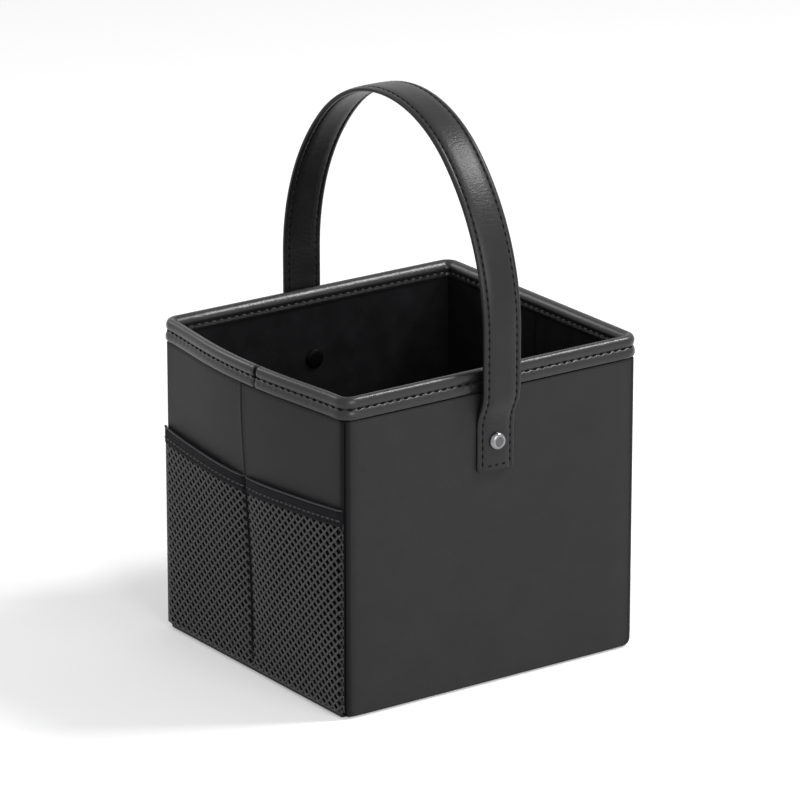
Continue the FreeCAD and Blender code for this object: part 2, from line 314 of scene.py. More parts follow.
def metal_finish(name, base, metallic, rough, brush, specular=0.5):
    """Polished or enamelled metal with fine turning marks."""
    made, tree = new_material(name)
    if tree is None:
        return made
    shader = tree.nodes["Principled BSDF"]
    marks = node(tree, "ShaderNodeTexNoise", {"Scale": 900.0, "Detail": 3.0})
    lay_on_piece(tree, marks)
    spread = node(tree, "ShaderNodeMapRange", {"To Min": rough * 0.8, "To Max": rough * 1.3})
    link(tree, marks, "Fac", spread, "Value")
    link(tree, spread, "Result", shader, "Roughness")
    link(tree, relief(tree, marks, "Fac", brush, 0.0001), "Normal", shader, "Normal")
    two_tones(tree, marks, "Fac", base, 0.94, 1.06, shader)
    shader.inputs["Metallic"].default_value = metallic
    shader.inputs["Specular IOR Level"].default_value = specular
    return made


def board_finish():
    """Dark dyed pressed board with fibres."""
    made, tree = new_material("pressed_board")
    if tree is None:
        return made
    shader = tree.nodes["Principled BSDF"]
    fibre = node(tree, "ShaderNodeTexNoise", {"Scale": 320.0, "Detail": 6.0})
    lay_on_piece(tree, fibre)
    two_tones(tree, fibre, "Fac", (0.020, 0.019, 0.018), 0.8, 1.2, shader)
    shader.inputs["Roughness"].default_value = 0.85
    return made


# Modelling helpers

def clear_selection():
    """Leaves edit mode and deselects everything."""
    if bpy.context.object and bpy.context.object.mode != "OBJECT":
        bpy.ops.object.mode_set(mode="OBJECT")
    bpy.ops.object.select_all(action="DESELECT")


def take(obj):
    """Makes the piece the only selected one."""
    clear_selection()
    bpy.context.view_layer.objects.active = obj
    obj.select_set(True)


def edit(obj):
    """Opens the piece in edit mode."""
    take(obj)
    bpy.ops.object.mode_set(mode="EDIT")
    bpy.ops.mesh.select_mode(type="VERT")


def new_piece(name):
    """Names the primitive that was just added."""
    obj = bpy.context.object
    obj.name = name
    obj.data.name = name
    return obj


def pick(obj, test):
    """Selects the vertices that pass the test, in edit mode."""
    bpy.ops.object.mode_set(mode="OBJECT")
    for group in (obj.data.polygons, obj.data.edges):
        for item in group:
            item.select = False
    for item in obj.data.vertices:
        item.select = bool(test(item.co))
    bpy.ops.object.mode_set(mode="EDIT")
    bpy.ops.mesh.select_mode(type="VERT")


def apply_modifiers(obj):
    """Applies all modifiers of the piece."""
    take(obj)
    for name in [item.name for item in obj.modifiers]:
        bpy.ops.object.modifier_apply(modifier=name)


def start_profile(name, points, closed=True):
    """A profile drawn by pulling one vertex from point to point; leaves it selected in edit mode."""
    clear_selection()
    bpy.ops.mesh.primitive_plane_add(size=0.001, location=points[0])
    obj = new_piece(name)
    bpy.ops.object.transform_apply(location=True, rotation=True, scale=True)
    bpy.ops.object.mode_set(mode="EDIT")
    bpy.ops.mesh.select_mode(type="VERT")
    bpy.ops.mesh.select_all(action="SELECT")
    bpy.ops.mesh.merge(type="CENTER")
    here = Vector(points[0])
    for point in points[1:]:
        there = Vector(point)
        bpy.ops.mesh.extrude_region_move(TRANSFORM_OT_translate={"value": there - here})
        here = there
    bpy.ops.mesh.select_all(action="SELECT")
    if closed:
        bpy.ops.mesh.edge_face_add()
        bpy.ops.mesh.delete(type="ONLY_FACE")
        bpy.ops.mesh.select_all(action="SELECT")
    return obj


def run(move, steps):
    """Pulls the selected profile along a straight line in equal steps."""
    for _ in range(steps):
        bpy.ops.mesh.extrude_region_move(TRANSFORM_OT_translate={"value": Vector(move) / steps})


def turn(centre, axis, angle, steps):
    """Spins the selected profile round an axis in equal steps."""
    bpy.ops.mesh.spin(steps=steps, angle=-angle, center=centre, axis=axis)


def close_ends(obj, smooth=40.0):
    """Caps open ends, points the faces outwards and smooths the shading."""
    bpy.ops.mesh.select_all(action="SELECT")
    bpy.ops.mesh.remove_doubles(threshold=0.00001)
    bpy.ops.mesh.fill_holes(sides=0)
    bpy.ops.mesh.select_all(action="SELECT")
    bpy.ops.mesh.normals_make_consistent(inside=False)
    bpy.ops.object.mode_set(mode="OBJECT")
    bpy.ops.object.shade_smooth_by_angle(angle=math.radians(smooth))


def face_outwards(obj):
    """Points the faces of the piece outwards."""
    edit(obj)
    bpy.ops.mesh.select_all(action="SELECT")
    bpy.ops.mesh.normals_make_consistent(inside=False)
    bpy.ops.object.mode_set(mode="OBJECT")


def block(name, low, high):
    """A cube pulled to two corners."""
    clear_selection()
    bpy.ops.mesh.primitive_cube_add(size=1.0)
    obj = new_piece(name)
    for item in obj.data.vertices:
        item.co = [low[i] + (high[i] - low[i]) * (item.co[i] + 0.5) for i in range(3)]
    return obj


def round_foot(obj, half, low, corner):
    """Rounds the two lower corners of an upright piece of a given half width and foot."""
    for item in obj.data.vertices:
        wide = abs(item.co.x) - (half - corner)
        deep = low + corner - item.co.z
        if wide > 0 and deep > 0:
            pull = max(wide, deep) / math.hypot(wide, deep)
            item.co.x = math.copysign(half - corner + wide * pull, item.co.x)
            item.co.z = low + corner - deep * pull


def refinish(name, material):
    """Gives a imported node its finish."""
    mesh = frame["nodes"][name].data
    mesh.materials.clear()
    mesh.materials.append(material)


def in_metres(pairs):
    """A profile drawn in millimetres, in metres."""
    return [(first / 1000, second / 1000) for first, second in pairs]


def lathe(name, profile, centre, axis):
    """A turned piece: a profile of (radius, height along the axis) spun round the axis."""
    axis = Vector(axis)
    points = [Vector(centre) + UP * radius + axis * height for radius, height in profile]
    obj = start_profile(name, points, closed=False)
    turn(centre, axis, 2 * math.pi, 40)
    close_ends(obj, 32.0)
    return obj


def finish_piece(obj, body, material, slot, *nodes):
    """Gives the piece its finish and body, and what it stands for."""
    if not obj.data.materials:
        obj.data.materials.append(material)
    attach(obj, body)
    if nodes:
        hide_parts(*nodes)


def stitch_master(name, reach, thick):
    """One stitch: a short rounded length of thread that dives at both ends."""
    clear_selection()
    bpy.ops.mesh.primitive_cylinder_add(
        vertices=6, radius=thick / 2, depth=reach, rotation=(0, QUARTER, 0))
    obj = new_piece(name)
    bpy.ops.object.transform_apply(location=True, rotation=True, scale=True)
    bpy.ops.object.mode_set(mode="EDIT")
    bpy.ops.mesh.select_mode(type="EDGE")
    bpy.ops.mesh.select_all(action="DESELECT")
    bpy.ops.object.mode_set(mode="OBJECT")
    for line in obj.data.edges:
        ends = [obj.data.vertices[i].co.x for i in line.vertices]
        line.select = abs(ends[0] - ends[1]) > reach / 2
    bpy.ops.object.mode_set(mode="EDIT")
    bpy.ops.mesh.subdivide(number_cuts=2)
    pick(obj, lambda co: abs(co.x) > reach * 0.45)
    bpy.ops.transform.resize(value=(1.0, 0.6, 0.6), center_override=(0, 0, 0))
    bpy.ops.transform.translate(value=(0, 0, -thick * 0.5))
    bpy.ops.object.mode_set(mode="OBJECT")
    bpy.ops.object.shade_smooth()
    return obj


def sew(master, name, places):
    """Copies the stitch to each place (origin, along, out) and joins the copies into one row."""
    clear_selection()
    made = []
    for origin, along, out in places:
        along = Vector(along).normalized()
        out = Vector(out).normalized()
        side = out.cross(along)
        turn_to = Matrix((along, side, out)).transposed().to_4x4()
        copy = bpy.data.objects.new(name, master.data.copy())
        bpy.context.collection.objects.link(copy)
        copy.data.transform(Matrix.Translation(Vector(origin)) @ turn_to)
        copy.select_set(True)
        made.append(copy)
    bpy.context.view_layer.objects.active = made[0]
    bpy.ops.object.join()
    return new_piece(name)


def drop(obj):
    """Deletes a piece that was only copied from."""
    bpy.data.objects.remove(obj, do_unlink=True)


def side_bow(y, z):
    """How far the slack pocket side leans out at a place; most near its middle, at the rim."""
    reach = HALF_Y - sizes().rim_corner
    share = (y - BOW_Y) / (reach - BOW_Y if y > BOW_Y else reach + BOW_Y)
    rise = min(1.0, max(0.0, (z - BOW_FOOT) / (TOP - BOW_FOOT)))
    return sizes().side_bow * max(0.0, 1 - share ** 2) ** 1.5 * rise * rise * (3 - 2 * rise)


def lean_out(obj):
    """Moves what belongs to the pocket side out by its bow."""
    for item in obj.data.vertices:
        if item.co.x < -HALF_X + SIDE_DEPTH:
            item.co.x -= side_bow(item.co.y, item.co.z)
    obj.data.update()


# Leather panels

def stations(low, high, step, extra=()):
    """Places from low to high about a step apart, with extra ones in between."""
    count = max(2, round((high - low) / step))
    plain = [low + (high - low) * i / count for i in range(count + 1)]
    kept = [p for p in plain[1:-1] if all(abs(p - e) > step * 0.3 for e in extra)]
    return sorted([low, high] + kept + list(extra))


def face_grid(name, columns, rows):
    """An upright grid facing -Y at the origin plane, with its columns and rows at given places."""
    clear_selection()
    across = len(columns) - 1
    up = len(rows) - 1
    bpy.ops.mesh.primitive_grid_add(
        x_subdivisions=across, y_subdivisions=up, size=1.0, rotation=(QUARTER, 0, 0))
    obj = new_piece(name)
    bpy.ops.object.transform_apply(location=True, rotation=True, scale=True)
    for item in obj.data.vertices:
        column = columns[round((item.co.x + 0.5) * across)]
        item.co = (column, 0.0, rows[round((item.co.z + 0.5) * up)])
    return obj


def padded_panel(name, columns, rows, rims, corner):
    """A panel facing -Y: a grid with round lower corners, its two sides and foot rolled back.

    Its faces get material 0 on the face, 2 on the roll and 1, leather darkened as painted shade, deep in
    the seam.
    """
    obj = face_grid(name, columns, rows)
    half, low, high = columns[-1], rows[0], rows[-1]
    edit(obj)
    near = 0.00001
    pick(obj, lambda co: abs(abs(co.x) - half) < near or co.z < low + near)
    bpy.ops.object.mode_set(mode="OBJECT")
    round_foot(obj, half, low, corner)
    bpy.ops.object.mode_set(mode="EDIT")
    for new_half, new_low, back in rims:
        bpy.ops.mesh.extrude_region_move(TRANSFORM_OT_translate={"value": (0, back, 0)})
        scale = (new_half / half, 1.0, (high - new_low) / (high - low))
        bpy.ops.transform.resize(value=scale, center_override=(0, 0, high))
        half = new_half
        low = new_low
    bpy.ops.object.mode_set(mode="OBJECT")
    for item in obj.data.polygons:
        depth = max(obj.data.vertices[i].co.y for i in item.vertices) / sizes().panel_corner
        item.material_index = 1 if depth > 0.45 else 2 if depth > 0.001 else 0
    return obj


def rolled_rims(half, low, radius, drop_by, steps=6):
    """Sizes of the rolled edge of a panel: (half width, foot, step back) through a quarter turn."""
    rims = []
    done = 0.0
    for i in range(1, steps + 1):
        angle = QUARTER * i / steps
        back = radius * (1 - math.cos(angle))
        rims.append((half + radius * math.sin(angle), low - drop_by * math.sin(angle), back - done))
        done = back
    return rims


def crown_panel(obj, half, low, high, crown, fold):
    """Pads the panel out in its middle, with soft edges, and presses the upright fold in."""
    middle = (low + high) / 2
    for item in obj.data.vertices:
        across = max(0.0, 1 - abs(item.co.x / half) ** 14)
        up = max(0.0, 1 - abs((item.co.z - middle) / (middle - low)) ** 10)
        item.co.y -= crown * across * (0.25 + 0.75 * up)
        item.co.y += fold * max(0.0, 1 - abs(item.co.x) / 0.0007)
        if fold:
            item.co.y -= 0.00018 * math.exp(-((abs(item.co.x) - 0.0011) / 0.0005) ** 2)
    face_outwards(obj)
    bpy.ops.object.shade_smooth()


def stand_at(obj, distance, angle):
    """Moves a panel modelled at the origin plane out to its wall and turns it about the upright axis."""
    obj.data.transform(Matrix.Rotation(angle, 4, "Z") @ Matrix.Translation((0, -distance, 0)))
    obj.data.update()


class BOX_OT_leather_panels(bpy.types.Operator):
    """Models the four leather wall covers and finishes the base."""

    bl_idname = "storagebox.leather_panels"
    bl_label = "Leather panels"

    def wall(self, name, across, away, low, foot, corner, angle, boards):
        """A wall cover: a padded panel rolled in at the corner seams.

        A cover over two boards has the upright fold between them.
        """
        size = sizes()
        roll = size.panel_corner
        half = across - size.seam - roll
        high = RIM_LOW[2] + 0.0015
        edges = [half * s for s in (-0.99, -0.97, -0.94, 0.94, 0.97, 0.99)]
        line = TOP - BINDING_DROP
        corners = [low + 0.0012, low + 0.0028, low + 0.0045, line - 0.0005, line]
        fold = 0.0012 if len(boards) > 1 else 0.0
        if fold:
            edges += [s * x for s in (-1, 1) for x in (0.0003, 0.0007, 0.0011, 0.0018, 0.003)] + [0.0]
        columns = stations(-half, half, 0.0045, edges)
        rows = stations(low, high, 0.0045, corners)
        rims = rolled_rims(half, low, roll, foot)
        panel = padded_panel(name + "_leather", columns, rows, rims, corner)
        crown_panel(panel, half, low, high, size.face_crown * (0.7 if fold else 1.0), fold)
        # Painted shade: the seam_shade attribute darkens the face towards the upright seams.
        shade = panel.data.attributes.new("seam_shade", "FLOAT", "POINT")
        shade_reach = 0.0085
        for item in panel.data.vertices:
            near = min(1.0, max(0.0, (half + roll - abs(item.co.x)) / shade_reach))
            shade.data[item.index].value = (1 - near) ** 2
            if item.co.z > line - 0.0001:
                item.co.y += 0.0006
        # Painted shadow: the strip under the binding takes the leather darkened as painted shade.
        for item in panel.data.polygons:
            if item.center.z > line:
                item.material_index = 1
        stand_at(panel, away, angle)
        for made in (panel_leather(), painted_shade_leather(), rolled_leather()):
            panel.data.materials.append(made)
        finish_piece(panel, "box", None, "leather", name)
        return panel

    def shade_behind_net(self, panel):
        """Lines the pocket side with dark lining cloth behind the net, as painted shade inside the pocket.
        """
        panel.data.materials.append(lining_finish())
        for item in panel.data.polygons:
            y, z = item.center.y, item.center.z
            covered = MESH_FOOT < z < mouth_height(y) - 0.003 and abs(y) < POCKET_HALF
            if covered and item.material_index == 0:
                item.material_index = 3

    def execute(self, context):
        corner = sizes().foot_corner
        end_foot = 0.0018
        side_foot = 0.0012
        side_low = LEFT_LOW[2] + side_foot
        for name, angle in (("front", 0.0), ("back", math.pi)):
            boards = [name + "_board"]
            self.wall(name + "_cover", HALF_X, HALF_Y, end_foot, end_foot, corner, angle, boards)
        for name, angle in (("left", -QUARTER), ("right", QUARTER)):
            boards = [name + "_board_front", name + "_board_rear"]
            panel = self.wall(name + "_cover", HALF_Y, HALF_X, side_low, side_foot, corner, angle, boards)
            if name == "left":
                lean_out(panel)
                self.shade_behind_net(panel)
        refinish("base_cover", panel_leather())
        return {"FINISHED"}


class BOX_OT_lining(bpy.types.Operator):
    """Models the slack cloth lining of the four walls and the cloth-covered insert on the floor."""

    bl_idname = "storagebox.lining"
    bl_label = "Lining"

    def wall(self, name, half, away, angle, fold):
        """A wall's lining: a thin rippled sheet, pressed in at its fold."""
        low = FLOOR_TOP
        high = LINING_HIGH[2] - 0.004
        folds = [s * x for s in (-1, 1) for x in (0.0004, 0.0009, 0.0015)] + [0.0] if fold else []
        panel = face_grid(name + "_cloth", stations(-half, half, 0.004, folds), stations(low, high, 0.004))
        slack = bpy.data.textures.new(name + "_slack", "CLOUDS")
        slack.noise_scale = 0.035
        ripple = panel.modifiers.new("ripple", "DISPLACE")
        ripple.texture = slack
        ripple.strength = 0.0007
        ripple.mid_level = 0.5
        apply_modifiers(panel)
        for item in panel.data.vertices:
            item.co.y += fold * max(0.0, 1 - abs(item.co.x) / 0.0009)
        thick = panel.modifiers.new("thick", "SOLIDIFY")
        thick.thickness = 0.0006
        thick.offset = -1.0
        apply_modifiers(panel)
        bpy.ops.object.shade_smooth_by_angle(angle=math.radians(50))
        panel.data.transform(Matrix.Rotation(angle, 4, "Z") @ Matrix.Translation((0, away, 0)))
        if name == "left_lining":
            lean_out(panel)
        finish_piece(panel, "box", lining_finish(), "lining_cloth", name)

    def insert(self):
        """The loose board on the floor: a plate with soft cloth-wrapped edges."""
        plate = block("base_insert_cloth", Vector(INSERT_LOW), Vector(INSERT_HIGH))
        edit(plate)
        bpy.ops.mesh.select_all(action="SELECT")
        bpy.ops.mesh.bevel(offset=0.0011, segments=3, affect="EDGES")
        bpy.ops.object.mode_set(mode="OBJECT")
        bpy.ops.object.shade_smooth_by_angle(angle=math.radians(40))
        finish_piece(plate, "box", lining_finish(), "insert_board", "base_insert")

    def execute(self, context):
        inner_y = LINING_LOW[1]
        inner_x = HALF_X - WALL
        fold = 0.0006
        self.wall("front_lining", inner_x, inner_y, math.pi, 0.0)
        self.wall("back_lining", inner_x, inner_y, 0.0, 0.0)
        self.wall("left_lining", inner_y, inner_x, QUARTER, fold)
        self.wall("right_lining", inner_y, inner_x, -QUARTER, fold)
        self.insert()
        refinish("floor_lining", lining_finish())
        return {"FINISHED"}


# Rim binding

def rim_profile():
    """Section of the binding as (out from the wall face, up from the rim top), in metres."""
    flange = [(0.05, -11.2), (0.35, -11.55), (0.85, -11.6), (1.3, -11.2), (1.55, -10.5), (1.62, -9.5),
              (1.5, -8.5), (1.18, -7.6), (0.72, -6.95), (0.1, -6.45)]
    roll = [(0.5, -5.95), (1.0, -5.2), (1.3, -4.2), (1.3, -3.2), (1.02, -2.2), (0.5, -1.35), (-0.3, -0.75),
            (-1.2, -0.5)]
    inside = [(-2.1, -0.7), (-3.0, -1.15), (-3.8, -1.85), (-4.5, -2.8), (-4.95, -3.8), (-5.05, -4.8),
              (-4.8, -5.7), (-4.45, -6.4), (-4.65, -6.85), (-5.0, -7.5), (-5.0, -8.3), (-4.75, -8.9),
              (-4.4, -9.05), (-4.05, -8.8)]
    under = [(-3.9, -4.2), (-3.2, -2.5), (0.05, -2.5)]
    return in_metres(flange + roll + inside + under)


def outward(along):
    """The outward side of a stretch of the rim."""
    return Vector((along.y, -along.x, 0))


def rim_stretches():
    """The rim's wall face as stretches from its joint, going forward.

    Each is (start, direction, length, bend radius); straight ones and corners take turns.
    """
    radius = sizes().rim_corner
    inner_x = HALF_X - radius
    inner_y = HALF_Y - radius
    point = Vector((-HALF_X, JOINT_Y, 0))
    along = Vector((0, -1, 0))
    made = []
    straights = (inner_y + JOINT_Y, 2 * inner_x, 2 * inner_y, 2 * inner_x, inner_y - JOINT_Y)
    for number, reach in enumerate(straights):
        made.append((point, along, reach, 0.0))
        if number == len(straights) - 1:
            break
        point = point + along * reach
        made.append((point, along, radius * QUARTER, radius))
        point = point + (along - outward(along)) * radius
        along = Vector((-along.y, along.x, 0))
    return made


def rim_count(stretch):
    """Number of stitches on a stretch of the rim."""
    return max(1, round(stretch[2] / sizes().rim_pitch))


def rim_spot(stretch, share):
    """Point, direction and outward side on a stretch of the rim."""
    point, along, reach, radius = stretch
    out = outward(along)
    if not radius:
        return point + along * reach * share, along, out
    spin = Matrix.Rotation(share * QUARTER, 3, "Z")
    return point - out * radius + spin @ (out * radius), spin @ along, spin @ out


def rim_find(co, stretches):
    """The stretch of the rim that a point belongs to, and its share along it."""
    radius = sizes().rim_corner
    inner_x = HALF_X - radius + 0.000001
    inner_y = HALF_Y - radius + 0.000001
    if abs(co.x) > inner_x and abs(co.y) > inner_y:
        corners = {(False, False): 1, (True, False): 3, (True, True): 5, (False, True): 7}
        number = corners[(co.x > 0, co.y > 0)]
        point, along, _, bend = stretches[number]
        out = outward(along)
        spoke = Vector((co.x, co.y, 0)) - (point - out * bend)
        return stretches[number], math.atan2(spoke.dot(along), spoke.dot(out)) / QUARTER
    if co.y < -inner_y:
        number = 2
    elif co.x > inner_x:
        number = 4
    elif co.y > inner_y:
        number = 6
    else:
        number = 0 if co.y < JOINT_Y else 8
    point, along, reach, _ = stretches[number]
    return stretches[number], (Vector((co.x, co.y, 0)) - point).dot(along) / reach


class BOX_OT_rim_binding(bpy.types.Operator):
    """Models the rolled leather binding round the rim, with its joint, puckers and stitches."""

    bl_idname = "storagebox.rim_binding"
    bl_label = "Rim binding"

    def sweep(self, stretches):
        """The binding's section drawn at the joint and swept round the rim, drawn in at both ends."""
        gap = 0.0012
        lip = 0.0005
        drawn_in = 0.88
        flange_shift = 0.0008
        middle = (-HALF_X + 0.0020, 0.0, TOP - 0.0045)
        start = []
        for out, up in rim_profile():
            x = middle[0] + (-HALF_X - out - middle[0]) * drawn_in
            z = middle[2] + (TOP + up - middle[2]) * drawn_in
            start.append((x, JOINT_Y - gap, z))
        obj = start_profile("rim_binding_leather", start)
        run((0, -lip, 0), 1)
        bpy.ops.transform.resize(value=(1 / drawn_in, 1.0, 1 / drawn_in), center_override=middle)
        for number, stretch in enumerate(stretches):
            point, along, reach, radius = stretch
            steps = 4 * rim_count(stretch)
            if radius:
                turn(point - outward(along) * radius, (0, 0, 1), QUARTER, steps)
            elif number in (0, len(stretches) - 1):
                run(along * (reach - gap - lip), steps)
            else:
                run(along * reach, steps)
        run((0, -lip, 0), 1)
        bpy.ops.transform.resize(value=(drawn_in, 1.0, drawn_in), center_override=middle)
        close_ends(obj)
        for item in obj.data.vertices:
            at_joint = item.co.x < 0 and abs(item.co.y - JOINT_Y) < gap + lip + 0.0002
            if at_joint and item.co.z < TOP - 0.0066:
                item.co.y += math.copysign(flange_shift, JOINT_Y - item.co.y)
        return obj

    def pucker(self, obj, stretches):
        """Lets the leather rise between the stitches of a row, and swell above and below each one."""
        for item in obj.data.vertices:
            up = (item.co.z - TOP) * 1000
            if up > -4.5:
                continue
            stretch, share = rim_find(item.co, stretches)
            point, _, out = rim_spot(stretch, share)
            hole = math.cos(2 * math.pi * share * rim_count(stretch))
            away = (item.co - point).dot(out)
            if -0.0042 < away < 0.0001:
                continue
            lift = 0.00050 * max(0.0, hole) ** 2 * math.exp(-((up + 6.4) / 0.55) ** 2)
            lift -= 0.00016 * hole * math.exp(-((up + 7.5) / 0.8) ** 2)
            lift -= 0.00010 * hole * math.exp(-((up + 5.4) / 0.7) ** 2)
            item.co += out * (lift if away > 0 else -lift)
        obj.data.update()

    def execute(self, context):
        size = sizes()
        stretches = rim_stretches()
        obj = self.sweep(stretches)
        self.pucker(obj, stretches)
        lean_out(obj)
        finish_piece(obj, "box", binding_leather(), "leather", "rim_binding")
        outer_places = []
        inner_places = []
        drop_to = Vector((0, 0, TOP - STITCH_DROP))
        outer_stand = 0.00046
        inner_stand = WALL + 0.00065
        for stretch in stretches:
            count = rim_count(stretch)
            for number in range(count):
                point, along, out = rim_spot(stretch, (number + 0.5) / count)
                outer_places.append((point + out * outer_stand + drop_to, along, out))
                if not stretch[3]:
                    inner_places.append((point - out * inner_stand + drop_to, -along, -out))
        dark = sewing_thread()
        # Painted highlight: the inside row takes a lighter, glossier copy of the black thread.
        light = yarn_finish("inner_thread_painted_highlight", [c * 8 for c in colours().thread], 1500.0, 0.4, 0.6)
        master = stitch_master("rim_stitch", size.rim_pitch * STITCH_SHARE, size.thread)
        rows = (("rim_stitches", outer_places, dark), ("rim_stitches_inside", inner_places, light))
        for name, places, thread in rows:
            row = sew(master, name, places)
            lean_out(row)
            finish_piece(row, "box", thread, "leather")
        drop(master)
        return {"FINISHED"}


# Handle strap

def strap_measures():
    """Path of the middle of the strap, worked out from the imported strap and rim, in metres."""
    foot = HALF_Y + 0.0003 + STRAP_THICK / 2
    leg = STRAP_HIGH[1] - STRAP_THICK / 2
    rise_by = 0.020
    bend = PIVOT.z + 0.007
    spring = TOP + 0.017
    rise = STRAP_HIGH[2] - STRAP_THICK / 2 - spring
    angle = math.pi / 4
    turn_by = 2 * math.atan((leg - foot) / rise_by)
    share = 1 - math.sin(angle) - math.cos(angle)
    return SimpleNamespace(
        foot=foot, leg=leg, low=STRAP_LOW[2], bend=bend, top=bend + rise_by, spring=spring, rise=rise,
        angle=angle, turn_by=turn_by, bend_radius=rise_by / (2 * math.sin(turn_by)),
        side=(leg * (1 - math.sin(angle)) - rise * math.cos(angle)) / share,
        crown=(rise * (1 - math.cos(angle)) - leg * math.sin(angle)) / share)


def strap_moves():
    """The strap's path from the front foot, as steps in the YZ plane.

    A run is (kind, length), with its count of steps where that is fixed.
    A turn is (kind, centre, angle, radius).
    """
    s = strap_measures()
    tip = 0.003
    apex = s.spring + s.rise - s.crown
    foot_bend = s.foot + s.bend_radius
    leg_bend = s.leg - s.bend_radius
    shoulder = s.leg - s.side
    return [
        ("run", tip, 5), ("run", s.bend - s.low - tip),
        ("turn", (-foot_bend, s.bend), s.turn_by, s.bend_radius),
        ("turn", (-leg_bend, s.top), -s.turn_by, s.bend_radius),
        ("run", s.spring - s.top),
        ("turn", (-shoulder, s.spring), -s.angle, s.side),
        ("turn", (0.0, apex), -2 * (QUARTER - s.angle), s.crown),
        ("turn", (shoulder, s.spring), -s.angle, s.side),
        ("run", s.spring - s.top),
        ("turn", (leg_bend, s.top), -s.turn_by, s.bend_radius),
        ("turn", (foot_bend, s.bend), s.turn_by, s.bend_radius),
        ("run", s.bend - s.low - tip), ("run", tip, 5)]


def move_length(move):
    """Length of one step of the strap's path."""
    return move[1] if move[0] == "run" else abs(move[2]) * move[3]


def strap_place(distance):
    """Point, direction and outward side of the strap's middle line at a distance from the front foot."""
    measures = strap_measures()
    point = Vector((0, -measures.foot, measures.low))
    along = Vector((0, 0, 1))
    rest = distance
    for move in strap_moves():
        share = min(rest, move_length(move))
        if move[0] == "run":
            point = point + along * share
        else:
            centre = Vector((0, move[1][0], move[1][1]))
            spin = Matrix.Rotation(math.copysign(share / move[3], move[2]), 3, "X")
            point = centre + spin @ (point - centre)
            along = spin @ along
        rest -= share
        if rest <= 1e-9:
            break
    return point, along, Vector((0, -along.z, along.y))


class BOX_OT_handle(bpy.types.Operator):
    """Models the two sewn layers of the strap handle and their stitch rows."""

    bl_idname = "storagebox.handle"
    bl_label = "Handle"

    def layer(self, name, section, step):
        """One layer of the strap: its section swept along the path, with rounded tail corners."""
        measures = strap_measures()
        start = [(x, -measures.foot - out, measures.low) for x, out in in_metres(section)]
        obj = start_profile(name, start)
        heading = 1.0
        for move in strap_moves():
            steps = max(2, round(move_length(move) / step))
            if move[0] == "run":
                run((0, 0, heading * move[1]), move[2] if len(move) > 2 else steps)
            else:
                turn((0, move[1][0], move[1][1]), (1, 0, 0), move[2], steps)
                if abs(move[1][0]) < 1e-9:
                    heading = -1.0
        close_ends(obj, 50.0)
        round_foot(obj, STRAP_HALF, measures.low, STRAP_CORNER)
        obj.data.update()
        return obj

    def execute(self, context):
        size = sizes()
        half = STRAP_HALF * 1000
        row = size.strap_row * 1000
        whole = sum(move_length(move) for move in strap_moves())
        count = round(whole / size.strap_pitch)
        pitch = whole / count
        groove = 0.00096
        tail = 0.0026
        tail_stand = 0.00155
        face = [(-half, 0.1), (-half, 0.55), (-half + 0.25, 0.85), (-half + 0.85, 1.08),
                (-row - 0.95, 1.28), (-row - 0.5, 1.12), (-row, 0.78),
                (-row + 0.5, 1.22), (-row + 1.1, 1.45), (-4.0, 1.60), (0.0, 1.64)]
        face = face + [(-x, out) for x, out in reversed(face[:-1])]
        back = [(x, -min(out, 1.43)) for x, out in face]
        outer = self.layer("handle_strap_leather", face, pitch / 2)
        inner = self.layer("handle_backing_leather", back, pitch / 2)
        finish_piece(outer, "handle", strap_leather(), "leather", "handle_strap")
        finish_piece(inner, "handle", strap_leather(), "leather", "handle_backing")
        thread = sewing_thread()
        master = stitch_master("strap_stitch", pitch * STITCH_SHARE, size.thread * 0.9)
        outside = []
        inside = []
        for number in range(1, count):
            point, along, out = strap_place(number * pitch)
            for x in (-size.strap_row, size.strap_row):
                outside.append((point + out * groove + Vector((x, 0, 0)), along, out))
                inside.append((point - out * groove + Vector((x, 0, 0)), -along, -out))
        across = Vector((1, 0, 0))
        for distance in (tail, whole - tail):
            point, _, out = strap_place(distance)
            for number in range(-1, 2):
                outside.append((point + out * tail_stand + across * number * pitch, across, out))
        for name, places in (("handle_stitches", outside), ("handle_stitches_inside", inside)):
            finish_piece(sew(master, name, places), "handle", thread, "leather")
        drop(master)
        return {"FINISHED"}


# Mesh pockets

def pocket_stand(y, z):
    """How far the pocket cloth stands off the side at a place, with its curl into the corner seams."""
    clear = 0.0004
    full_height = 0.042
    crease_depth = 0.0012
    crease_half = 0.0022
    share = min(1.0, abs(y) / POCKET_HALF)
    swell = max(0.0, 1 - abs(2 * share - 1) ** 3.4)
    rise = min(1.0, max(0.0, (z - MESH_FOOT) / full_height))
    roll = sizes().panel_corner
    past = max(0.0, abs(y) - (HALF_Y - sizes().seam - roll))
    curl = roll - math.sqrt(max(0.0, roll * roll - past * past))
    crease = crease_depth * max(0.0, 1 - abs(y) / crease_half)
    bulge = sizes().pocket_bulge * swell * (0.04 + 0.96 * rise)
    return clear + bulge + side_bow(y, z) - curl - crease


def mouth_height(y):
    """Height of the pocket mouth: dipping from the corners to the seam in the middle."""
    return HEM_HIGH[2] - sizes().hem_dip * (1 - abs(y) / POCKET_HALF)


def side_grid(name, columns, rows):
    """A flat grid with one unit each way, to be laid on the left side."""
    clear_selection()
    bpy.ops.mesh.primitive_grid_add(x_subdivisions=columns, y_subdivisions=rows, size=1.0)
    return new_piece(name)


def lay_on_side(obj, low, high, off):
    """Lays a unit grid on the left side between two heights, following the pocket's swell."""
    for item in obj.data.vertices:
        y = -2 * POCKET_HALF * item.co.x
        bottom = low(y)
        z = bottom + (high(y) - bottom) * (item.co.y + 0.5)
        item.co = (-HALF_X - pocket_stand(y, z) - off - item.co.z, y, z)
    obj.data.update()


